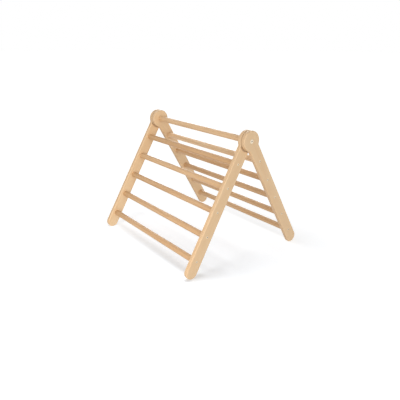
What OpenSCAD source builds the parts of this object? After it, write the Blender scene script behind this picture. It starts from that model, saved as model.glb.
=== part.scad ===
// Folding climbing triangle: two identical ladders on one pivot, eleven round rungs in all.
// Millimetres, +Z up, origin on the floor under the middle of the frame.
// The front ladder leans towards -X, the rear ladder towards +X, and every rung lies along Y.
// Right is -Y and left is +Y, as seen by someone who faces the front ladder.
// The ladders are staggered by one rail, so at each side one head lies outside the other.

/* [Ladder] */
// Visible length of a rung between its two rails
rung_length = 600; // [450:5:800]
// Diameter of every rung
rung_d = 25; // [20:0.5:32]
// Distance from one rung to the next along a rail
rung_pitch = 100; // [80:1:130]
// Distance from the pivot to the first rung under it
first_rung = 100; // [90:1:130]
// Distance from the last rung to the centre of the round foot
foot_reach = 45; // [30:1:120]
// Lean of each ladder from the vertical, in degrees
lean = 30; // [20:0.5:40]

/* [Rail] */
// Width of a rail
rail_w = 52; // [44:0.5:70]
// Thickness of a rail
rail_t = 18; // [15:0.5:24]
// Diameter of the round head at the pivot
head_d = 82; // [74:0.5:110]
// Radius of the rounded rail edges
edge_r = 4; // [1:0.5:6]
// Depth of the blind sockets that hold the rung ends
socket_depth = 7; // [4:0.5:8]

/* [Pivot] */
// Gap between the two heads that lie side by side
head_gap = 1; // [0.6:0.1:3]
// Play that lets the rear ladder turn beside the spacer, the bolt head and the top rung
turn_play = 0.1; // [0.05:0.01:0.2]
// Diameter of the pivot bolt
bolt_d = 8; // [6:0.5:10]
// Length of the pivot bolt under its head
bolt_length = 55; // [50:1:62]
// Diameter of the bolt head
bolt_head_d = 18; // [15:0.5:22]
// Thickness of the bolt head
bolt_head_t = 3; // [2.5:0.1:5]
// Width across the corners of the hexagon socket in the bolt head
bolt_key_d = 6; // [4:0.5:7]
// Outer diameter of the spacer washer between the heads
spacer_d = 30; // [24:0.5:40]
// Outer diameter of the threaded insert in the end of the top rung
insert_d = 12; // [11.5:0.5:15]
// Length of the threaded insert
insert_length = 20; // [12:0.5:25]

/* [Rung screws] */
// Diameter of the screw head
screw_head_d = 10; // [8:0.5:12]
// Diameter of the plain neck under the head
screw_neck_d = 7; // [5.5:0.5:7.5]
// Diameter of the screw in the rung
screw_core_d = 5; // [4:0.5:5.5]
// Length of the screw
screw_length = 50; // [40:1:60]
// Width across the corners of the hexagon socket in the screw head
screw_key_d = 4.6; // [3:0.1:5]

/* [Hidden] */
$fn = 96;

// Number of rungs on each ladder, not counting the top rung
rung_count = 5;
// Radial gap of every pin, bolt, screw and rung end in its hole
fit = 0.05;
// Gap between the end of a rung and the floor of its socket
end_gap = 0.2;
// How far a screw head or bolt head lies below the face of its rail
head_sink = 0.3;
// Extra length of a cutting tool past the face that it cuts
over = 1;
// Height of the straight rim of a screw head, above its 90 degree countersink
screw_rim = 0.5;
// Depth of the hexagon sockets
screw_key_depth = 2.4;
bolt_key_depth = 2;
// Length of the point of a screw
screw_point = 4;
// Length of the chamfer at the tip of the bolt
bolt_point = 1;
// Space left for the tips of bolts and screws in their holes
tip_room = 2;
// Chamfer at the ends of a rung
rung_chamfer = 1;

rail_wall = rail_t - socket_depth;
foot_s = first_rung + (rung_count - 1) * rung_pitch + foot_reach;
pivot_z = foot_s * cos(lean) + rail_w / 2;
stagger = (rail_t + head_gap) / 2;
inner_y = rung_length / 2 - stagger;
outer_y = rung_length / 2 + stagger;
counterbore = bolt_head_t + head_sink;
rung_end = socket_depth - end_gap;
screw_tip = head_sink + screw_length;
bolt_tip = outer_y + rail_t - counterbore - bolt_length;
top_rung_half = inner_y + rung_end;
spacer_t = head_gap - turn_play;

function rung_s(i) = first_rung + (i - 1) * rung_pitch;

// Places a ladder's own frame: its rails hang along -Z from the pivot and its outer faces look along Y
module front_ladder() { translate([0, 0, pivot_z]) rotate([0, lean, 0]) children(); }
module rear_ladder() { translate([0, 0, pivot_z]) rotate([0, -lean, 0]) children(); }

// Places a piece that is drawn for the right side, with the inner face of its rail at y = 0
module right_side(y) { translate([0, -y, 0]) children(); }
module left_side(y) { translate([0, y, 0]) rotate([0, 0, 180]) children(); }

// Lays a shape drawn along +Z so that it runs inwards along +Y
module inwards() { rotate([-90, 0, 0]) children(); }

// Section of a rail with rounded edges, across x and from y = -rail_t to y = 0
module rail_section() {
    translate([-rail_w / 2 + edge_r, -rail_t]) square([rail_w - 2 * edge_r, rail_t]);
    translate([-rail_w / 2, -rail_t + edge_r]) square([rail_w, rail_t - 2 * edge_r]);
    for (x = [-rail_w / 2 + edge_r, rail_w / 2 - edge_r])
        for (y = [-rail_t + edge_r, -edge_r])
            translate([x, y]) circle(r = edge_r);
}

// Half section of a round plate with rounded edges, from its axis outwards
module disc_section(r) {
    square([r - edge_r, rail_t]);
    translate([0, edge_r]) square([r, rail_t - 2 * edge_r]);
    for (y = [edge_r, rail_t - edge_r])
        translate([r - edge_r, y]) circle(r = edge_r);
}

// Solid plate of a rail: round head on the pivot, straight bar and round foot
module rail_blank() {
    translate([0, -rail_t, 0]) inwards() rotate_extrude() disc_section(head_d / 2);
    translate([0, 0, -foot_s]) linear_extrude(foot_s) rail_section();
    translate([0, -rail_t, -foot_s]) inwards() rotate_extrude(angle = 180) disc_section(rail_w / 2);
}

// Countersunk hole for one rung screw, from the outer face to the socket
module screw_hole() {
    sink_r = screw_head_d / 2 + fit;
    neck_r = screw_neck_d / 2 + fit;
    rim = head_sink + screw_rim;
    translate([0, -rail_t - over, 0]) inwards() cylinder(r = sink_r, h = rim + over);
    translate([0, -rail_t + rim, 0]) inwards() cylinder(r1 = sink_r, r2 = neck_r, h = sink_r - neck_r);
    translate([0, -rail_t, 0]) inwards() cylinder(r = neck_r, h = rail_t);
}

// Blind socket for one rung end, in the inner face
module rung_socket() {
    translate([0, -socket_depth, 0]) inwards() cylinder(r = rung_d / 2 + fit, h = socket_depth + over);
}

// Rail with its five sockets and screw holes and a bore for the pivot bolt
module drilled_rail() {
    difference() {
        rail_blank();
        for (i = [1:rung_count]) translate([0, 0, -rung_s(i)]) {
            rung_socket();
            screw_hole();
        }
        translate([0, -rail_t - over, 0]) inwards() cylinder(r = bolt_d / 2 + fit, h = rail_t + 2 * over);
    }
}

// Rail whose head lies outside: the bolt head sits in a counterbore
module outer_rail() {
    color("burlywood") difference() {
        drilled_rail();
        translate([0, -rail_t - over, 0]) inwards() cylinder(r = bolt_head_d / 2 + 4 * fit, h = counterbore + over);
    }
}

// Rail whose head lies inside: the end of the top rung sits in a socket
module inner_rail() {
    color("burlywood") difference() {
        drilled_rail();
        rung_socket();
    }
}

module front_rail_right() { front_ladder() right_side(inner_y) inner_rail(); }
module front_rail_left() { front_ladder() left_side(outer_y) outer_rail(); }
module rear_rail_right() { rear_ladder() right_side(outer_y) outer_rail(); }
module rear_rail_left() { rear_ladder() left_side(inner_y) inner_rail(); }

// Round rung along Y between two ends, with eased ends and a hole of the given size at each end
module rung(y_from, y_to, hole_r, hole_depth) {
    length = y_to - y_from;
    color("tan") translate([0, y_from, 0]) inwards() difference() {
        union() {
            cylinder(r1 = rung_d / 2 - rung_chamfer, r2 = rung_d / 2, h = rung_chamfer);
            translate([0, 0, rung_chamfer]) cylinder(r = rung_d / 2, h = length - 2 * rung_chamfer);
            translate([0, 0, length - rung_chamfer])
                cylinder(r1 = rung_d / 2, r2 = rung_d / 2 - rung_chamfer, h = rung_chamfer);
        }
        translate([0, 0, -over]) cylinder(r = hole_r, h = hole_depth + over);
        translate([0, 0, length - hole_depth]) cylinder(r = hole_r, h = hole_depth + over);
    }
}

// Rung of one ladder: its screws reach in through the rails at both ends
module ladder_rung(i, y_right, y_left) {
    pilot_depth = screw_tip - rail_wall - end_gap + tip_room;
    translate([0, 0, -rung_s(i)])
        rung(y_right - rung_end, y_left + rung_end, screw_core_d / 2 + fit, pilot_depth);
}

module front_rung(i) { front_ladder() ladder_rung(i, -inner_y, outer_y); }
module rear_rung(i) { rear_ladder() ladder_rung(i, -outer_y, inner_y); }

// Top rung on the pivot axis, bored for the insert and deeper for the tip of the bolt
module top_rung() {
    insert_hole = insert_length + end_gap;
    tip_hole = top_rung_half - bolt_tip + tip_room;
    color("tan") translate([0, 0, pivot_z]) difference() {
        rung(-top_rung_half, top_rung_half, bolt_d / 2 + 4 * fit, tip_hole);
        for (turn = [0, 180]) rotate([0, 0, turn])
            translate([0, -top_rung_half - over, 0]) inwards() cylinder(r = insert_d / 2 + fit, h = insert_hole + over);
    }
}

// Countersunk rung screw with a hexagon socket, its head below the outer face of the rail
module rung_screw() {
    head_r = screw_head_d / 2;
    neck_r = screw_neck_d / 2;
    core_r = screw_core_d / 2;
    neck_end = rail_wall - head_sink - end_gap;
    translate([0, -rail_t + head_sink, 0]) inwards() difference() {
        rotate_extrude() polygon([
            [0, 0],
            [head_r, 0],
            [head_r, screw_rim],
            [neck_r, screw_rim + head_r - neck_r],
            [neck_r, neck_end],
            [core_r, neck_end],
            [core_r, screw_length - screw_point],
            [0, screw_length]
        ]);
        translate([0, 0, -over]) cylinder(d = screw_key_d, h = screw_key_depth + over, $fn = 6);
    }
}

// The five screws of one rail
module rail_screws() {
    color("silver") for (i = [1:rung_count]) translate([0, 0, -rung_s(i)]) rung_screw();
}

module front_screws_right() { front_ladder() right_side(inner_y) rail_screws(); }
module front_screws_left() { front_ladder() left_side(outer_y) rail_screws(); }
module rear_screws_right() { rear_ladder() right_side(outer_y) rail_screws(); }
module rear_screws_left() { rear_ladder() left_side(inner_y) rail_screws(); }

// Pivot bolt from the counterbore of the outer rail into the insert in the top rung
module pivot_bolt() {
    bolt_r = bolt_d / 2;
    color("silver") translate([0, -rail_t + head_sink, 0]) inwards() difference() {
        rotate_extrude() polygon([
            [0, 0],
            [bolt_head_d / 2, 0],
            [bolt_head_d / 2, bolt_head_t - turn_play],
            [bolt_r, bolt_head_t - turn_play],
            [bolt_r, bolt_head_t + bolt_length - bolt_point],
            [bolt_r - bolt_point, bolt_head_t + bolt_length],
            [0, bolt_head_t + bolt_length]
        ]);
        translate([0, 0, -over]) cylinder(d = bolt_key_d, h = bolt_key_depth + over, $fn = 6);
    }
}

module pivot() { translate([0, 0, pivot_z]) children(); }

module pivot_bolt_right() { pivot() right_side(outer_y) pivot_bolt(); }
module pivot_bolt_left() { pivot() left_side(outer_y) pivot_bolt(); }

// Spacer washer, drawn outwards from the face that carries it
module spacer_washer() {
    color("whitesmoke") rotate([90, 0, 0]) difference() {
        cylinder(d = spacer_d, h = spacer_t);
        translate([0, 0, -over]) cylinder(r = bolt_d / 2 + 2 * fit, h = spacer_t + 2 * over);
    }
}

// Both washers lie on the front ladder's heads: outside its right one and inside its left one
module spacer_washer_right() { pivot() translate([0, -inner_y - rail_t, 0]) spacer_washer(); }
module spacer_washer_left() { pivot() translate([0, outer_y, 0]) spacer_washer(); }

// Threaded insert in the end of the top rung, drawn inwards from the rung's end face
module threaded_insert() {
    color("goldenrod") inwards() difference() {
        cylinder(d = insert_d, h = insert_length);
        translate([0, 0, -over]) cylinder(r = bolt_d / 2 + fit, h = insert_length + 2 * over);
    }
}

module threaded_insert_right() { pivot() translate([0, -top_rung_half, 0]) threaded_insert(); }
module threaded_insert_left() { pivot() rotate([0, 0, 180]) translate([0, -top_rung_half, 0]) threaded_insert(); }

front_rail_right();
front_rail_left();
rear_rail_right();
rear_rail_left();
front_rung(1);  // front_rung_1
front_rung(2);  // front_rung_2
front_rung(3);  // front_rung_3
front_rung(4);  // front_rung_4
front_rung(5);  // front_rung_5
rear_rung(1);  // rear_rung_1
rear_rung(2);  // rear_rung_2
rear_rung(3);  // rear_rung_3
rear_rung(4);  // rear_rung_4
rear_rung(5);  // rear_rung_5
top_rung();
front_screws_right();
front_screws_left();
rear_screws_right();
rear_screws_left();
pivot_bolt_right();
pivot_bolt_left();
spacer_washer_right();
spacer_washer_left();
threaded_insert_right();
threaded_insert_left();
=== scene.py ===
# Folding climbing triangle: two ladders of beech rungs between birch plywood rails,
# hinged on one shared top rung. Metres, +Z up, origin on the floor under the middle of the frame.
import math

import bmesh
import bpy
from mathutils import Matrix, Vector


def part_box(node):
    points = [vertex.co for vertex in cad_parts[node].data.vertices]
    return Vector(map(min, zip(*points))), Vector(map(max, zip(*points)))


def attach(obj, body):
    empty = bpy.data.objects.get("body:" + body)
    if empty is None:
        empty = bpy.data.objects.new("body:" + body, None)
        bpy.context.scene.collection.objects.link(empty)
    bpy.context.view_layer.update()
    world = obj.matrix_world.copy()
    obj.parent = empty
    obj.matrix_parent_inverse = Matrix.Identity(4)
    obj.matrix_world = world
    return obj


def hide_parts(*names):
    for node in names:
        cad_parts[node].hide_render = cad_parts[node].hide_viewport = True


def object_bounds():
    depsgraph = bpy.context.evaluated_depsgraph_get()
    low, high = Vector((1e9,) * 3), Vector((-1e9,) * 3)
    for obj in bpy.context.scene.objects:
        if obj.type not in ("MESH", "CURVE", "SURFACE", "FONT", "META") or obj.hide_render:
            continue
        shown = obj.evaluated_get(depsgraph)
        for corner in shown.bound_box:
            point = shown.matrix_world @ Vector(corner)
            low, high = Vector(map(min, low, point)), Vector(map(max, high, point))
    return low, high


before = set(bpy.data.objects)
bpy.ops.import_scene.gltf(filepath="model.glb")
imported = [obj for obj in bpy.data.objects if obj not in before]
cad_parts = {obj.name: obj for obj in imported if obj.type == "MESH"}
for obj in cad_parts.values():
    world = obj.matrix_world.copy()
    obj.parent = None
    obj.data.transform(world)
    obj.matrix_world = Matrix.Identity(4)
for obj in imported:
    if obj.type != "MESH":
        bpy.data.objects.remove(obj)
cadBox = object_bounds()
scene = bpy.context.scene


camera = {
    "place": (-1.1603, -1.4513, 0.8716),
    "yaw": 38.91,           # degrees to the right of +Y
    "pitch": 16.25,         # degrees below the horizon
    "roll": 0.315,
    "focalPixels": 433.4,   # focal length in pixels of the photograph
    "imageSize": 400,
    "axisPixelY": 165,      # height in the photograph where the optical axis meets it
    "sensor": 36.0,
    "clip": (0.05, 60),
}


def makeCamera():
    data = bpy.data.cameras.new("camera")
    data.sensor_width = camera["sensor"]
    data.lens = camera["sensor"] * camera["focalPixels"] / camera["imageSize"]
    data.shift_y = (camera["axisPixelY"] - camera["imageSize"] / 2) / camera["imageSize"]
    data.clip_start, data.clip_end = camera["clip"]
    body = bpy.data.objects.new("camera", data)
    scene.collection.objects.link(body)
    turn = Matrix.Rotation(-math.radians(camera["yaw"]), 4, "Z")
    tilt = Matrix.Rotation(math.radians(90 - camera["pitch"]), 4, "X")
    roll = Matrix.Rotation(math.radians(camera["roll"]), 4, "Z")
    body.matrix_world = Matrix.Translation(camera["place"]) @ turn @ tilt @ roll
    scene.camera = body


makeCamera()
print("camera: lens", round(scene.camera.data.lens, 2), "mm")


# a white room with five wide suns and a panel at the left; two more lamps light the floor alone
studio = {
    "ambient": 0.21,                     # the white room, as the object sees it
    "floorColour": 0.30,                 # the floor, as the object sees it
    "floorGlow": 0.55,
    "floorSeen": (0.575, 0.61, 0.655),   # the floor in the picture, cooled against the wood's glow
    "floorLevel": 1.10,                  # of the open floor in the picture; 1 is white
    "floorRadius": 30.0,
    "floorSteps": 64,
    "sunDistance": 3.0,
    "suns": {                            # azimuth is clockwise from +Y, seen from above
        "front": {"azimuth": 192, "elevation": 8, "spread": 60, "strength": 2.14},
        "back": {"azimuth": 15, "elevation": 8, "spread": 60, "strength": 1.08},
        "rear": {"azimuth": 58, "elevation": 10, "spread": 60, "strength": 1.35},
        "left": {"azimuth": 279, "elevation": 42, "spread": 16, "strength": 0.56},
        "top": {"azimuth": 277, "elevation": 72, "spread": 26, "strength": 0.45},
    },
    "panel": {"place": (-1.1, -0.4, 0.35), "target": (0, 0, 0.25), "size": 0.5, "power": 4.9},
    "floorLamps": (                      # share is the level that a lamp gives the floor straight under it
        {"place": (-0.18, -0.25, 0.70), "size": (0.22, 0.14), "share": 0.33},
        {"place": (-0.45, 0.10, 0.90), "size": (0.30, 0.30), "share": 0.22},
    ),
}
white = (1, 1, 1, 1)


def feed(tree, socket, value):
    # joins a socket to another one, or sets it to a plain value
    if isinstance(value, bpy.types.NodeSocket):
        tree.links.new(value, socket)
    else:
        socket.default_value = value


def addNode(tree, kind, inputs=None, **settings):
    made = tree.nodes.new(kind)
    for key, value in settings.items():
        setattr(made, key, value)
    for key, value in (inputs or {}).items():
        feed(tree, made.inputs[key], value)
    return made


def calc(tree, operation, *values):
    # one math node; values are numbers or sockets
    made = addNode(tree, "ShaderNodeMath", operation=operation)
    for i, value in enumerate(values):
        feed(tree, made.inputs[i], value)
    return made.outputs[0]


def bySight(tree, felt, seen):
    # felt is what lights the object; seen is the background: straight, in a reflection or through glass
    path = addNode(tree, "ShaderNodeLightPath").outputs
    mirrored = calc(tree, "MAXIMUM", path["Is Glossy Ray"], path["Is Transmission Ray"])
    mask = calc(tree, "MAXIMUM", path["Is Camera Ray"], mirrored)
    both = addNode(tree, "ShaderNodeMixShader", {0: mask, 1: felt.outputs[0], 2: seen.outputs[0]})
    return both.outputs[0]


def makeRoom():
    world = bpy.data.worlds.new("room")
    world.use_nodes = True
    scene.world = world
    tree = world.node_tree
    tree.nodes.clear()
    light = addNode(tree, "ShaderNodeBackground", {"Color": white, "Strength": studio["ambient"]})
    seen = addNode(tree, "ShaderNodeBackground", {"Color": white, "Strength": 1.0})
    addNode(tree, "ShaderNodeOutputWorld", {"Surface": bySight(tree, light, seen)})


def newObject(name, bm):
    mesh = bpy.data.meshes.new(name)
    bm.to_mesh(mesh)
    bm.free()
    made = bpy.data.objects.new(name, mesh)
    scene.collection.objects.link(made)
    return made


def floorLift(tree):
    # what the floor in the picture needs on top of the room and its lamps to be one even white
    where = addNode(tree, "ShaderNodeTexCoord").outputs["Object"]
    lift = studio["floorLevel"] - studio["ambient"] * studio["floorSeen"][1]
    for lamp in studio["floorLamps"]:
        x, y, height = lamp["place"]
        off = addNode(tree, "ShaderNodeVectorMath", {0: where, 1: (x, y, 0)}, operation="DISTANCE")
        slant = calc(tree, "MULTIPLY_ADD", off.outputs[1], off.outputs[1], height ** 2)
        falloff = calc(tree, "POWER", calc(tree, "DIVIDE", height ** 2, slant), 2.0)
        lift = calc(tree, "SUBTRACT", lift, calc(tree, "MULTIPLY", falloff, lamp["share"]))
    return lift


def makeFloor():
    material = bpy.data.materials.new("whiteFloor")
    material.use_nodes = True
    tree = material.node_tree
    tree.nodes.clear()
    pale = addNode(tree, "ShaderNodeBsdfDiffuse", {"Color": [studio["floorColour"]] * 3 + [1]})
    glow = addNode(tree, "ShaderNodeEmission", {"Color": white, "Strength": studio["floorGlow"]})
    felt = addNode(tree, "ShaderNodeAddShader", {0: pale.outputs[0], 1: glow.outputs[0]})
    shown = addNode(tree, "ShaderNodeBsdfDiffuse", {"Color": [*studio["floorSeen"], 1]})
    lift = addNode(tree, "ShaderNodeEmission", {"Color": white, "Strength": floorLift(tree)})
    seen = addNode(tree, "ShaderNodeAddShader", {0: shown.outputs[0], 1: lift.outputs[0]})
    addNode(tree, "ShaderNodeOutputMaterial", {"Surface": bySight(tree, felt, seen)})
    bm = bmesh.new()
    bmesh.ops.create_circle(bm, cap_ends=True, radius=studio["floorRadius"], segments=studio["floorSteps"])
    floor = newObject("floor", bm)
    floor.data.materials.append(material)
    return floor


def addLamp(name, kind, place, towards, floor, state):
    # towards points at the lamp; INCLUDE lights the floor alone, EXCLUDE lights all but the floor
    data = bpy.data.lights.new(name, kind)
    lamp = bpy.data.objects.new(name, data)
    scene.collection.objects.link(lamp)
    lamp.location = place
    lamp.rotation_mode = "QUATERNION"
    lamp.rotation_quaternion = towards.to_track_quat("Z", "Y")
    lamp.visible_camera = False
    receivers = bpy.data.collections.new(name + "Receivers")
    receivers.objects.link(floor)
    receivers.collection_objects[0].light_linking.link_state = state
    lamp.light_linking.receiver_collection = receivers
    return data


def makeLamps(floor):
    for name, sun in studio["suns"].items():
        azimuth, elevation = math.radians(sun["azimuth"]), math.radians(sun["elevation"])
        towards = Vector((
            math.sin(azimuth) * math.cos(elevation),
            math.cos(azimuth) * math.cos(elevation),
            math.sin(elevation),
        ))
        data = addLamp(name, "SUN", towards * studio["sunDistance"], towards, floor, "EXCLUDE")
        data.energy = sun["strength"]
        data.angle = math.radians(sun["spread"])
    panel = studio["panel"]
    place = Vector(panel["place"])
    data = addLamp("panel", "AREA", place, place - Vector(panel["target"]), floor, "EXCLUDE")
    data.energy = panel["power"]
    data.size = panel["size"]
    for index, lamp in enumerate(studio["floorLamps"]):
        place = Vector(lamp["place"])
        data = addLamp("floorLamp" + str(index + 1), "AREA", place, Vector((0, 0, 1)), floor, "INCLUDE")
        data.shape = "RECTANGLE"
        data.size, data.size_y = lamp["size"]
        data.energy = lamp["share"] / studio["floorSeen"][1] * (math.pi * place.z) ** 2


makeRoom()
makeLamps(makeFloor())
scene.view_settings.view_transform = "Standard"
print("studio: white room, floor and", len(studio["suns"]) + len(studio["floorLamps"]) + 1, "lamps")


def boxCentre(node):
    low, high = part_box(node)
    return (low + high) / 2


pivot = boxCentre("top_rung")
ladders = {}
for ladderName in ("front", "rear"):
    rungs = sorted(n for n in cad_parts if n.startswith(ladderName + "_rung_"))
    drops = [boxCentre(n) - pivot for n in rungs]
    ladders[ladderName] = {
        "body": ladderName + "_ladder",
        "rungs": rungs,
        "drops": [math.hypot(d.x, d.z) for d in drops],     # distances from the pivot down the rail
        "lean": math.atan2(-drops[0].x, -drops[0].z),       # turn about Y from hanging straight down
    }


def leanFrame(ladder):
    # from a ladder that hangs straight down from the origin to its place
    return Matrix.Translation(pivot) @ Matrix.Rotation(ladder["lean"], 4, "Y")


def outerEnd(node):
    # y of the end that is further from the middle of the frame, and the way in from there
    low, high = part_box(node)
    return (low.y, 1) if low.y + high.y < 0 else (high.y, -1)


shaping = {
    "merge": 1e-6,         # points closer than this are one
    "mirrorMerge": 1e-5,   # and on the line that a rail is mirrored about
    "sharpAngle": 34,      # edges sharper than this, in degrees, stay crisp
    "dish": 0.0001,        # how far a head's face falls towards its key socket
    "keyPoint": 1 / 3,     # depth of a key socket's pointed end, of its radius
}
alongY = (0, 1, 0)


def latheTurn(bm, profile, place, steps, closed=False):
    # spins (radius, y) points about the line along Y through place
    points = [bm.verts.new((place.x + r, y, place.z)) for r, y in profile]
    pairs = list(zip(points, points[1:]))
    if closed:
        pairs.append((points[-1], points[0]))
    edges = [bm.edges.new(pair) for pair in pairs]
    bmesh.ops.spin(
        bm, geom=points + edges, cent=(place.x, 0, place.z), axis=alongY,
        angle=2 * math.pi, steps=steps, use_merge=True,
    )
    bmesh.ops.remove_doubles(bm, verts=bm.verts[:], dist=shaping["merge"])


def fromFace(profile, faceY, inwards):
    # a profile whose y was measured inwards from a face
    return [(r, faceY + inwards * y) for r, y in profile]


def rings(crest, root, start, pitch, count):
    # zigzag profile of a thread, from start along +Y
    points = []
    for i in range(count):
        points += [(root, start + i * pitch), (crest, start + i * pitch + pitch / 2)]
    return points


def finishPiece(node, body, bm, material, places=None):
    # normals outwards, and for metal its map of places; then as dressPiece
    bmesh.ops.recalc_face_normals(bm, faces=bm.faces[:])
    piece = newObject(pieceName(node), bm)
    if places:
        mapFrom(piece.data, places)
    dressPiece(piece, node, body, material)


def pieceName(node):
    return node.title().replace("_", "")


def dressPiece(piece, node, body, material):
    # crisp edges, even normals, its material, its body and the node it stands for
    for face in piece.data.polygons:
        face.use_smooth = True
    piece.data.set_sharp_from_angle(angle=math.radians(shaping["sharpAngle"]))
    even = piece.modifiers.new("evenNormals", "WEIGHTED_NORMAL")
    even.keep_sharp = True
    piece.data.materials.clear()
    piece.data.materials.append(material)
    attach(piece, body)
    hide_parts(node)


mostOfNoise = (0.3, 0.7)      # nearly all of a noise's values lie between these


def noise(tree, vector, scale, detail, roughness=0.55, distortion=0.0):
    # scale is one number for each axis
    stretched = addNode(tree, "ShaderNodeVectorMath", {0: vector, 1: scale}, operation="MULTIPLY")
    made = addNode(tree, "ShaderNodeTexNoise", {
        "Vector": stretched.outputs[0], "Scale": 1.0, "Detail": detail,
        "Roughness": roughness, "Distortion": distortion,
    })
    return made.outputs[0]


def spread(tree, value, low, high, toLow=0.0, toHigh=1.0):
    # a value from low to high becomes toLow to toHigh, clamped
    made = addNode(tree, "ShaderNodeMapRange", {
        "Value": value, "From Min": low, "From Max": high, "To Min": toLow, "To Max": toHigh,
    })
    return made.outputs[0]


def blendColours(tree, share, a, b):
    made = addNode(tree, "ShaderNodeMix", data_type="RGBA")
    feed(tree, made.inputs["Factor"], share)
    feed(tree, made.inputs[6], a)
    feed(tree, made.inputs[7], b)
    return made.outputs[2]


def stepped(tree, vector, step, seed):
    # each piece takes its pattern from another place in the wood
    off = [part * seed for part in step]
    return addNode(tree, "ShaderNodeVectorMath", {0: vector, 1: off}, operation="ADD").outputs[0]


def layTones(tree, colour, patterns, tones, colours):
    # each tone goes over the last one, where its pattern rises from low to high
    for pattern, low, high, most, tone in tones:
        share = spread(tree, patterns[pattern], low, high, 0.0, most)
        colour = blendColours(tree, share, colour, colours[tone])
    return colour


def startMaterial(name):
    material = bpy.data.materials.new(name)
    material.use_nodes = True
    tree = material.node_tree
    tree.nodes.clear()
    shader = addNode(tree, "ShaderNodeBsdfPrincipled")
    addNode(tree, "ShaderNodeOutputMaterial", {"Surface": shader.outputs[0]})
    return material, tree, shader


def finishSurface(tree, shader, colour, sheen, height, finish):
    # sheen is the pattern that the roughness follows, height the one that the fine relief follows
    strength, distance = finish["bump"]
    bump = addNode(tree, "ShaderNodeBump", {"Strength": strength, "Distance": distance, "Height": height})
    feed(tree, shader.inputs["Base Color"], colour)
    feed(tree, shader.inputs["Roughness"], spread(tree, sheen, *mostOfNoise, *finish["roughness"]))
    feed(tree, shader.inputs["Normal"], bump.outputs[0])


def varnish(shader, finish):
    shader.inputs["Coat Weight"].default_value = finish["coat"]
    shader.inputs["Coat Roughness"].default_value = finish["coatRoughness"]


# scales of the patterns run across, through and along the sheet
plywood = {
    "plies": 13,
    "plyWaver": 0.05,                       # of a ply
    "face": (0.732, 0.507, 0.293, 1),       # lacquered birch veneer
    "faceWarm": (0.680, 0.440, 0.229, 1),
    "facePale": (0.764, 0.572, 0.357, 1),
    "faceShare": 0.45,                      # of the even tone in the broad changes
    "pores": (0.520, 0.300, 0.150, 1),
    "endGrain": (0.400, 0.225, 0.108, 1),   # plies cut across
    "endShare": 0.8,
    "endSpeckle": (0.35, 0.7),
    "endRelief": 1.4,
    "glue": (0.190, 0.095, 0.045, 1),
    "glueWidth": 0.07,                      # of a ply
    "glueShare": 0.75,
    "glueRelief": 0.8,
    "rubbed": (0.230, 0.125, 0.060, 1),     # painted shade on the faces where the two heads meet
    "rubbedShare": 0.5,
    "rubbedDepth": 0.0022,
    "rubbedRadius": 0.046,
    "sheetStep": (3.1, 0, 1.7),             # from one rail's place in the sheet to the next one's
    "patterns": {                           # scale, detail, roughness, distortion
        "waver": ((25, 25, 9), 3.0),
        "broad": ((16, 16, 2.2), 2.0, 0.55, 0.4),
        "figure": ((120, 120, 7), 4.0, 0.6, 0.8),
        "fibres": ((1300, 1300, 45), 2.0),
        "dashes": ((900, 900, 110), 1.0),
        "speckle": ((1900, 1900, 1900), 2.0),
    },
    "tones": (                              # pattern, low, high, share at the most, colour
        ("figure", 0.50, 0.75, 0.55, "faceWarm"),
        ("fibres", 0.45, 0.80, 0.40, "faceWarm"),
        ("dashes", 0.68, 0.80, 0.55, "pores"),
    ),
    "roughness": (0.42, 0.56),
    "bump": (0.22, 0.00025),                # strength and depth
    "coat": 0.12,
    "coatRoughness": 0.32,
}


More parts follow.
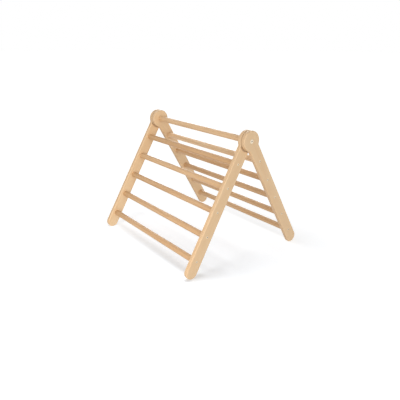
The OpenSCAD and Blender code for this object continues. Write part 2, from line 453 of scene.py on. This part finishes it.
def makePlywood(name, lean, innerFace, outerFace, meetsFace, seed):
    # birch plywood: grain down the rail, its plies wherever the edge is cut, and painted shade where the
    # heads meet
    material, tree, shader = startMaterial(name)
    where = addNode(tree, "ShaderNodeTexCoord").outputs
    lowFace = min(innerFace, outerFace)
    shift = -(Matrix.Rotation(-lean, 3, "Y") @ pivot)
    shift.y = -lowFace                                          # y runs from 0 to the thickness
    space = addNode(tree, "ShaderNodeMapping", {
        "Vector": where["Object"], "Location": shift, "Rotation": (0, -lean, 0),
    }).outputs[0]
    facing = addNode(tree, "ShaderNodeMapping", {
        "Vector": where["Normal"], "Rotation": (0, -lean, 0),
    }, vector_type="NORMAL").outputs[0]
    sheet = stepped(tree, space, plywood["sheetStep"], seed)
    patterns = {key: noise(tree, sheet, *recipe) for key, recipe in plywood["patterns"].items()}

    across, depth, along = addNode(tree, "ShaderNodeSeparateXYZ", {0: space}).outputs
    waver = spread(tree, patterns["waver"], *mostOfNoise, -plywood["plyWaver"], plywood["plyWaver"])
    ply = calc(tree, "MULTIPLY_ADD", depth, plywood["plies"] / abs(outerFace - innerFace), waver)
    crossed = calc(tree, "GREATER_THAN", calc(tree, "FLOORED_MODULO", ply, 2.0), 1.0)
    nearGlue = calc(tree, "PINGPONG", ply, 0.5)
    facingParts = addNode(tree, "ShaderNodeSeparateXYZ", {0: facing}).outputs
    sideways = calc(tree, "POWER", facingParts[0], 2.0)
    lengthways = calc(tree, "POWER", facingParts[2], 2.0)
    onEdge = calc(tree, "ADD", sideways, lengthways)
    uncrossed = calc(tree, "MULTIPLY", calc(tree, "SUBTRACT", 1.0, crossed), lengthways)
    cut = calc(tree, "ADD", calc(tree, "MULTIPLY", crossed, sideways), uncrossed)

    broad = spread(tree, patterns["broad"], *mostOfNoise)
    colour = blendColours(tree, broad, plywood["faceWarm"], plywood["facePale"])
    colour = blendColours(tree, plywood["faceShare"], colour, plywood["face"])
    colour = layTones(tree, colour, patterns, plywood["tones"], plywood)
    speckle = spread(tree, patterns["speckle"], *plywood["endSpeckle"])
    ends = blendColours(tree, speckle, plywood["endGrain"], plywood["faceWarm"])
    colour = blendColours(tree, calc(tree, "MULTIPLY", cut, plywood["endShare"]), colour, ends)
    line = calc(tree, "MULTIPLY", spread(tree, nearGlue, 0.0, plywood["glueWidth"], 1.0, 0.0), onEdge)
    colour = blendColours(tree, calc(tree, "MULTIPLY", line, plywood["glueShare"]), colour, plywood["glue"])
    # painted shade: darker within a few millimetres of the face that meets the other head, close to the
    # pivot
    fromSeam = calc(tree, "ABSOLUTE", calc(tree, "SUBTRACT", depth, meetsFace - lowFace))
    rubbed = spread(tree, fromSeam, 0.0, plywood["rubbedDepth"], plywood["rubbedShare"], 0.0)
    squared = calc(tree, "MULTIPLY_ADD", across, across, calc(tree, "POWER", along, 2.0))
    fromPivot = calc(tree, "SQRT", squared)
    rubbed = calc(tree, "MULTIPLY", rubbed, calc(tree, "LESS_THAN", fromPivot, plywood["rubbedRadius"]))
    colour = blendColours(tree, rubbed, colour, plywood["rubbed"])

    fibres = patterns["fibres"]
    endRelief = calc(tree, "MULTIPLY", patterns["speckle"], plywood["endRelief"])
    height = calc(tree, "MULTIPLY_ADD", cut, endRelief, fibres)
    height = calc(tree, "SUBTRACT", height, calc(tree, "MULTIPLY", line, plywood["glueRelief"]))
    finishSurface(tree, shader, colour, fibres, height, plywood)
    varnish(shader, plywood)
    return material


# beech dowel: growth rings as long streaks, short dark ray flecks; the grain runs along Y
beech = {
    "body": (0.592, 0.353, 0.179, 1),
    "rings": (0.485, 0.268, 0.122, 1),
    "pale": (0.632, 0.410, 0.234, 1),
    "flecks": (0.390, 0.200, 0.086, 1),
    "endGrain": (0.360, 0.195, 0.092, 1),
    "endShare": 0.8,
    "golden": (0.90, 0.87, 0.77),           # tint of a dowel at 0 on its scale
    "light": (1.10, 1.17, 1.20),            # and of one at 1
    "turnStep": 2.4,                        # radians that each dowel lies further round
    "stickStep": (0.9, 2.3, 0),             # from one dowel's place in the wood to the next one's
    "patterns": {                           # scale, detail, roughness, distortion
        "broad": ((30, 3.5, 30), 2.0),
        "growth": ((420, 5, 90), 3.0, 0.5, 0.5),
        "fibres": ((1500, 40, 1500), 2.0),
        "flecks": ((1100, 170, 1100), 1.0),
    },
    "tones": (                              # pattern, low, high, share at the most, colour
        ("growth", 0.42, 0.72, 0.75, "rings"),
        ("fibres", 0.40, 0.80, 0.35, "rings"),
        ("flecks", 0.64, 0.74, 0.60, "flecks"),
    ),
    "roughness": (0.40, 0.55),
    "bump": (0.2, 0.0002),                  # strength and depth
    "coat": 0.12,
    "coatRoughness": 0.30,
}


def makeBeech(name, place, seed, paleness):
    # the tint is the dowel's own tone and, in part, painted light and shade
    tint = [dark + paleness * (pale - dark) for dark, pale in zip(beech["golden"], beech["light"])] + [1]
    toned = ("body", "rings", "pale", "flecks", "endGrain")
    wood = {key: [c * t for c, t in zip(beech[key], tint)] for key in toned}
    material, tree, shader = startMaterial(name)
    where = addNode(tree, "ShaderNodeTexCoord").outputs
    angle = beech["turnStep"] * seed
    shift = -(Matrix.Rotation(angle, 3, "Y") @ place)
    space = addNode(tree, "ShaderNodeMapping", {
        "Vector": where["Object"], "Location": shift, "Rotation": (0, angle, 0),
    }).outputs[0]
    stick = stepped(tree, space, beech["stickStep"], seed)
    patterns = {key: noise(tree, stick, *recipe) for key, recipe in beech["patterns"].items()}
    facing = addNode(tree, "ShaderNodeSeparateXYZ", {0: where["Normal"]})
    endOn = calc(tree, "POWER", facing.outputs[1], 2.0)

    colour = blendColours(tree, spread(tree, patterns["broad"], *mostOfNoise), wood["body"], wood["pale"])
    colour = layTones(tree, colour, patterns, beech["tones"], wood)
    colour = blendColours(tree, calc(tree, "MULTIPLY", endOn, beech["endShare"]), colour, wood["endGrain"])
    finishSurface(tree, shader, colour, patterns["fibres"], patterns["fibres"], beech)
    varnish(shader, beech)
    return material


metals = {
    "zincSteel": {"tint": (0.90, 0.77, 0.59, 1), "shade": (0.72, 0.61, 0.45, 1), "roughness": (0.24, 0.40)},
    "brass": {"tint": (0.78, 0.56, 0.26, 1), "shade": (0.62, 0.42, 0.18, 1), "roughness": (0.28, 0.44)},
}
turned = {
    "mapScale": 100,              # the map of places is in centimetres
    "marks": 150.0,               # fine rings, in radians to the centimetre
    "clouds": ((260, 260, 260), 3.0),
    "cloudRange": (0.35, 0.65),
    "bump": (0.12, 0.00005),      # strength and depth
    "socketReach": 0.31,          # centimetres from the axis that a key socket takes
    "socketWall": 0.97,           # a face whose normal has less than this along Y is a wall
    # painted shade on the key sockets' walls, standing for the shade deep in them
    "socketGrime": (0.16, 0.13, 0.10, 1),
}


def mapFrom(mesh, places):
    # a map of places, from the axis of the nearest fastener
    layer = mesh.uv_layers.new(name="fromAxis")
    for loop in mesh.loops:
        point = mesh.vertices[loop.vertex_index].co
        place = min(places, key=lambda p: (p.x - point.x) ** 2 + (p.z - point.z) ** 2)
        off = (point - place) * turned["mapScale"]
        layer.data[loop.index].uv = (off.x, off.z)


def makeMetal(name):
    # turned metal: fine rings about each piece's own middle, a cloudy plating, and painted shade in the key
    # sockets
    material, tree, shader = startMaterial(name)
    metal = metals[name]
    where = addNode(tree, "ShaderNodeTexCoord").outputs
    clouds = noise(tree, where["Object"], *turned["clouds"])
    radius = addNode(tree, "ShaderNodeVectorMath", {0: where["UV"]}, operation="LENGTH").outputs[1]
    marks = calc(tree, "SINE", calc(tree, "MULTIPLY", radius, turned["marks"]))
    colour = blendColours(tree, spread(tree, clouds, *turned["cloudRange"]), metal["shade"], metal["tint"])
    facing = addNode(tree, "ShaderNodeSeparateXYZ", {0: where["Normal"]})
    # painted shade: the walls of a key socket near the axis take the dark colour
    wall = calc(tree, "LESS_THAN", calc(tree, "ABSOLUTE", facing.outputs[1]), turned["socketWall"])
    inSocket = calc(tree, "MULTIPLY", wall, calc(tree, "LESS_THAN", radius, turned["socketReach"]))
    colour = blendColours(tree, inSocket, colour, turned["socketGrime"])
    finish = {"roughness": metal["roughness"], "bump": turned["bump"]}
    finishSurface(tree, shader, colour, clouds, marks, finish)
    shader.inputs["Metallic"].default_value = 1.0
    return material


nylon = {
    "white": (0.80, 0.79, 0.76, 1),
    "shade": (0.70, 0.69, 0.65, 1),
    "clouds": ((150, 150, 150), 3.0),
    "roughness": (0.38, 0.5),
    "bump": (0.1, 0.0001),
}


def makeNylon():
    material, tree, shader = startMaterial("nylon")
    clouds = noise(tree, addNode(tree, "ShaderNodeTexCoord").outputs["Object"], *nylon["clouds"])
    colour = blendColours(tree, clouds, nylon["shade"], nylon["white"])
    finishSurface(tree, shader, colour, clouds, clouds, nylon)
    return material


zincSteel = makeMetal("zincSteel")
brass = makeMetal("brass")
whiteNylon = makeNylon()
print("materials: steel, brass and nylon; each piece of wood gets its own")


rail = {
    "width": 0.052,
    "headRadius": 0.041,
    "edgeRadius": 0.004,       # round-over along both faces
    "edgeSteps": 6,
    "neckRadius": 0.008,       # hollow where the head meets the bar
    "headSteps": 46,
    "neckSteps": 6,
    "footSteps": 18,
    "holeSteps": 48,
    "rimEase": 0.0004,         # broken edge round each hole
    "overshoot": 0.002,        # how far the drills start outside the wood
}
drilling = {
    "socketRadius": 0.01255,
    "socketDepth": 0.007,
    "sinkRadius": 0.00505,     # countersink of a rung screw
    "sinkRim": 0.0008,
    "neckRadius": 0.00355,
    "boreRadius": 0.00405,     # pivot bolt
    "counterRadius": 0.0092,
    "counterDepth": 0.0033,
}


def railBlank(innerFace, outerFace, footDrop):
    # half the outline is drawn with arcs, mirrored, filled, given its thickness and rounded over
    half, head, hollow = rail["width"] / 2, rail["headRadius"], rail["neckRadius"]
    neckTurn = math.pi - math.asin((half + hollow) / (head + hollow))
    neckDrop = -(head + hollow) * math.cos(neckTurn)
    bm = bmesh.new()

    def sweep(point, middle, angle, steps):
        swept = bmesh.ops.spin(bm, geom=[point], cent=middle, axis=alongY, angle=angle, steps=steps)
        return next(g for g in swept["geom_last"] if isinstance(g, bmesh.types.BMVert))

    point = bm.verts.new((0, innerFace, head))
    point = sweep(point, (0, 0, 0), neckTurn, rail["headSteps"])
    point = sweep(point, (half + hollow, 0, -neckDrop), math.pi / 2 - neckTurn, rail["neckSteps"])
    point = bmesh.ops.extrude_vert_indiv(bm, verts=[point])["verts"][0]
    point.co = (half, innerFace, -footDrop)
    sweep(point, (0, 0, -footDrop), math.pi / 2, rail["footSteps"])
    outline = bm.verts[:] + bm.edges[:]
    bmesh.ops.mirror(bm, geom=outline, matrix=Matrix(), merge_dist=shaping["mirrorMerge"], axis="X")
    bmesh.ops.edgeloop_fill(bm, edges=bm.edges[:])
    raised = bmesh.ops.extrude_face_region(bm, geom=bm.faces[:])["geom"]
    raised = [g for g in raised if isinstance(g, bmesh.types.BMVert)]
    bmesh.ops.translate(bm, verts=raised, vec=(0, outerFace - innerFace, 0))
    bmesh.ops.recalc_face_normals(bm, faces=bm.faces[:])
    rims = [e for e in bm.edges if abs(e.verts[0].co.y - e.verts[1].co.y) < shaping["merge"]]
    bmesh.ops.bevel(
        bm, geom=rims, offset=rail["edgeRadius"], offset_type="OFFSET", segments=rail["edgeSteps"],
        profile=0.5, affect="EDGES", material=-1, clamp_overlap=False, loop_slide=True,
    )
    return bm


def drillRung(bm, drop, innerFace, outerFace):
    # countersink from the outer face, neck, and socket from the inner face, in one lathe-turned tool
    out = 1 if outerFace > innerFace else -1
    ease, past = rail["rimEase"], rail["overshoot"]
    sink, neck, socket = drilling["sinkRadius"], drilling["neckRadius"], drilling["socketRadius"]
    floor = innerFace + out * drilling["socketDepth"]
    profile = [
        (0, outerFace + out * past),
        (sink + ease / 2 + past, outerFace + out * past),
        (sink, outerFace - out * ease / 2),
        (sink, outerFace - out * drilling["sinkRim"]),
        (neck, outerFace - out * (drilling["sinkRim"] + sink - neck)),
        (neck, floor),
        (socket, floor),
        (socket, innerFace + out * ease),
        (socket + ease + past, innerFace - out * past),
        (0, innerFace - out * past),
    ]
    latheTurn(bm, profile, Vector((0, 0, -drop)), rail["holeSteps"])


def drillPivot(bm, innerFace, outerFace, isOuter):
    # outer rails take the bolt head in a counterbore, inner rails the end of the top rung in a socket
    if isOuter:
        wide, deep, near, far = drilling["counterRadius"], drilling["counterDepth"], outerFace, innerFace
    else:
        wide, deep, near, far = drilling["socketRadius"], drilling["socketDepth"], innerFace, outerFace
    inwards = 1 if far > near else -1
    bore, ease, past = drilling["boreRadius"], rail["rimEase"], rail["overshoot"]
    profile = [
        (0, near - inwards * past),
        (wide + ease + past, near - inwards * past),
        (wide, near + inwards * ease),
        (wide, near + inwards * deep),
        (bore, near + inwards * deep),
        (bore, far - inwards * ease),
        (bore + ease + past, far + inwards * past),
        (0, far + inwards * past),
    ]
    latheTurn(bm, profile, Vector((0, 0, 0)), rail["holeSteps"])


def makeRail(node, ladder, seed):
    low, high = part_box(node)
    outerFace, inwards = outerEnd(node)
    innerFace = high.y if inwards > 0 else low.y
    isOuter = abs(outerFace) > cadBox[1].y - rail["overshoot"]
    footDrop = (pivot.z - rail["width"] / 2) / math.cos(ladder["lean"])
    piece = newObject(pieceName(node), railBlank(innerFace, outerFace, footDrop))
    bm = bmesh.new()
    for drop in ladder["drops"]:
        drillRung(bm, drop, innerFace, outerFace)
    drillPivot(bm, innerFace, outerFace, isOuter)
    bmesh.ops.recalc_face_normals(bm, faces=bm.faces[:])
    drills = newObject("drills", bm)
    drilled = piece.modifiers.new("drilled", "BOOLEAN")
    drilled.operation = "DIFFERENCE"
    drilled.solver = "EXACT"
    drilled.object = drills
    made = bpy.data.meshes.new_from_object(piece.evaluated_get(bpy.context.evaluated_depsgraph_get()))
    piece.modifiers.clear()
    piece.data = made
    bpy.data.objects.remove(drills)
    made.transform(leanFrame(ladder))
    meetsFace = innerFace if isOuter else outerFace
    name = "birchPlywood" + str(seed)
    material = makePlywood(name, ladder["lean"], innerFace, outerFace, meetsFace, seed)
    dressPiece(piece, node, ladder["body"], material)


railNodes = sorted(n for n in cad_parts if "_rail_" in n)
for index, railNode in enumerate(railNodes):
    makeRail(railNode, ladders[railNode.split("_")[0]], index + 1)
print("rails:", len(railNodes))


rung = {
    "radius": 0.0125,
    "ease": 0.001,             # chamfer at each end
    "steps": 64,
    "pilotRadius": 0.00255,    # hole for a rung screw
    "pilotDepth": 0.0413,
    "insertRadius": 0.00605,   # hole for a threaded insert
    "insertDepth": 0.0202,
    "tipRadius": 0.0042,       # deeper hole for the tip of the pivot bolt
    "tipDepth": 0.0301,
    "paleness": {              # each dowel's tint from golden to pale: partly its own tone, partly painted light and shade; the first rear dowel's 2.40 is painted light
        "top": (0.95,),
        "front": (0.01, 0.72, 0.19, 0.31, 0.18),
        "rear": (2.40, 0.45, 0.42, 0.67, 0.57),
    },
}


def makeRung(node, body, seed, paleness):
    low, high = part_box(node)
    place = boxCentre(node)
    full, ease = rung["radius"], rung["ease"]
    if node == "top_rung":
        hole = [
            (0, rung["tipDepth"]), (rung["tipRadius"], rung["tipDepth"]),
            (rung["tipRadius"], rung["insertDepth"]), (rung["insertRadius"], rung["insertDepth"]),
            (rung["insertRadius"], 0),
        ]
    else:
        pilot, depth = rung["pilotRadius"], rung["pilotDepth"]
        hole = [(0, depth), (pilot, depth), (pilot, 0)]
    end = hole + [(full - ease, 0), (full, ease)]
    profile = fromFace(end, low.y, 1) + fromFace(reversed(end), high.y, -1)
    bm = bmesh.new()
    latheTurn(bm, profile, place, rung["steps"])
    finishPiece(node, body, bm, makeBeech("beech" + str(seed), place, seed, paleness))


rungRows = [("top_rung", "front_ladder", rung["paleness"]["top"][0])]
for ladderName, ladder in ladders.items():
    for rungNode, paleness in zip(ladder["rungs"], rung["paleness"][ladderName]):
        rungRows.append((rungNode, ladder["body"], paleness))
for index, (rungNode, body, paleness) in enumerate(rungRows):
    makeRung(rungNode, body, index + 1, paleness)
print("rungs:", len(rungRows))


def keySocket(bm, place, faceY, inwards, fastener, turn):
    # hexagon socket inside the open rim that the lathe left
    # turn is in whole steps of the lathe, so that the corners line up with the rim's points
    radius, depth, steps = fastener["keyRadius"], fastener["keyDepth"], fastener["steps"]
    corners = 6
    rim = [e for e in bm.edges if e.is_boundary]
    mouthY = faceY + inwards * shaping["dish"]
    flat = Matrix.Translation((place.x, mouthY, place.z)) @ Matrix.Rotation(math.pi / 2, 4, "X")
    flat = flat @ Matrix.Rotation(2 * math.pi * turn / steps, 4, "Z")
    hexagon = bmesh.ops.create_circle(bm, cap_ends=False, radius=radius, segments=corners, matrix=flat)
    sides = list({e for v in hexagon["verts"] for e in v.link_edges})
    sides = bmesh.ops.subdivide_edges(bm, edges=sides, cuts=steps // corners - 1)["geom_inner"]
    sides = list({e for v in sides if isinstance(v, bmesh.types.BMVert) for e in v.link_edges})
    bmesh.ops.bridge_loops(bm, edges=rim + sides)
    walls = bmesh.ops.extrude_edge_only(bm, edges=sides)["geom"]
    ends = [g for g in walls if isinstance(g, bmesh.types.BMVert)]
    bmesh.ops.translate(bm, verts=ends, vec=(0, inwards * depth, 0))
    ring = [g for g in walls if isinstance(g, bmesh.types.BMEdge)]
    point = bmesh.ops.extrude_edge_only(bm, edges=ring)["geom"]
    point = [g for g in point if isinstance(g, bmesh.types.BMVert)]
    pointY = mouthY + inwards * (depth + radius * shaping["keyPoint"])
    bmesh.ops.pointmerge(bm, verts=point, merge_co=(place.x, pointY, place.z))


screw = {
    "headRadius": 0.005,
    "mouthRadius": 0.00365,    # of the face round the key socket
    "bevelWidth": 0.0011,      # bevel round the head's face
    "bevelDepth": 0.0004,
    "rim": 0.0005,             # depth where the 90 degree countersink starts
    "neckRadius": 0.0035,
    "neckEnd": 0.0105,         # depth under the head's face where the thread starts
    "crest": 0.0025,
    "root": 0.0019,
    "pitch": 0.0026,
    "turns": 13,
    "length": 0.050,
    "keyRadius": 0.0023,       # across the corners, halved
    "keyDepth": 0.0024,
    "steps": 36,
}


def oneScrew(place, faceY, inwards, turn):
    head, neck, rim, neckEnd = screw["headRadius"], screw["neckRadius"], screw["rim"], screw["neckEnd"]
    profile = [
        (screw["mouthRadius"], 0),
        (head - screw["bevelWidth"], 0),
        (head, screw["bevelDepth"]),
        (head, rim),
        (neck, rim + head - neck),
        (neck, neckEnd),
        *rings(screw["crest"], screw["root"], neckEnd, screw["pitch"], screw["turns"]),
        (screw["root"], neckEnd + screw["pitch"] * screw["turns"]),
        (0, screw["length"]),
    ]
    bm = bmesh.new()
    latheTurn(bm, fromFace(profile, faceY, inwards), place, screw["steps"])
    keySocket(bm, place, faceY, inwards, screw, turn)
    return bm


def makeScrews(node, ladder):
    faceY, inwards = outerEnd(node)
    firstTurn = 1 if inwards > 0 else 0
    rows = [leanFrame(ladder) @ Vector((0, 0, -drop)) for drop in ladder["drops"]]
    bm = bmesh.new()
    for index, place in enumerate(rows):
        single = oneScrew(place, faceY, inwards, 2 * index + firstTurn)    # each stops another way round
        loose = bpy.data.meshes.new("screw")
        single.to_mesh(loose)
        single.free()
        bm.from_mesh(loose)
        bpy.data.meshes.remove(loose)
    finishPiece(node, ladder["body"], bm, zincSteel, rows)


for ladderName, ladder in ladders.items():
    for side in ("right", "left"):
        makeScrews(ladderName + "_screws_" + side, ladder)
print("screws:", 2 * sum(len(ladder["drops"]) for ladder in ladders.values()))


bolt = {
    "headEase": 0.0006,
    "headThickness": 0.0029,
    "mouthRadius": 0.00375,    # of the face round the key socket
    "shankRadius": 0.004,
    "threadRoot": 0.0035,
    "pitch": 0.00125,
    "turns": 20,
    "tipEase": 0.001,
    "keyRadius": 0.003,        # across the corners, halved
    "keyDepth": 0.002,
    "keyTurn": 2,              # steps
    "steps": 48,
}


def makeBolt(node):
    low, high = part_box(node)
    faceY, inwards = outerEnd(node)
    length, head = high.y - low.y, (high.x - low.x) / 2
    thick, shank, root = bolt["headThickness"], bolt["shankRadius"], bolt["threadRoot"]
    ease, tipEase = bolt["headEase"], bolt["tipEase"]
    threadStart = length - tipEase - bolt["pitch"] * bolt["turns"]
    profile = [
        (bolt["mouthRadius"], 0),
        (head - 2 * ease, 0),
        (head - ease / 2, ease / 2),
        (head, 2 * ease),
        (head, thick),
        (shank, thick),
        (shank, threadStart),
        *rings(shank, root, threadStart, bolt["pitch"], bolt["turns"]),
        (root, length - tipEase),
        (shank - tipEase, length),
        (0, length),
    ]
    bm = bmesh.new()
    latheTurn(bm, fromFace(profile, faceY, inwards), pivot, bolt["steps"])
    keySocket(bm, pivot, faceY, inwards, bolt, bolt["keyTurn"])
    finishPiece(node, "front_ladder", bm, zincSteel, [pivot])


washer = {"hole": 0.0041, "ease": 0.0002, "steps": 48}


def makeWasher(node):
    low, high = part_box(node)
    outer, hole, ease = (high.x - low.x) / 2, washer["hole"], washer["ease"]
    profile = [
        (hole, low.y),
        (outer - ease, low.y),
        (outer, low.y + ease),
        (outer, high.y - ease),
        (outer - ease, high.y),
        (hole, high.y),
    ]
    bm = bmesh.new()
    latheTurn(bm, profile, pivot, washer["steps"], closed=True)
    finishPiece(node, "front_ladder", bm, whiteNylon)


insert = {"hole": 0.00405, "root": 0.0052, "pitch": 0.0025, "turns": 7, "flange": 0.0012, "steps": 48}


def makeInsert(node):
    low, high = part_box(node)
    faceY, inwards = outerEnd(node)
    length, outer, hole, flange = high.y - low.y, (high.x - low.x) / 2, insert["hole"], insert["flange"]
    profile = [
        (hole, 0),
        (outer, 0),
        (outer, flange),
        *rings(outer, insert["root"], flange, insert["pitch"], insert["turns"]),
        (insert["root"], length),
        (hole, length),
    ]
    bm = bmesh.new()
    latheTurn(bm, fromFace(profile, faceY, inwards), pivot, insert["steps"], closed=True)
    finishPiece(node, "front_ladder", bm, brass, [pivot])


for side in ("right", "left"):
    makeBolt("pivot_bolt_" + side)
    makeWasher("spacer_washer_" + side)
    makeInsert("threaded_insert_" + side)
print("pivot: bolts, washers and inserts")
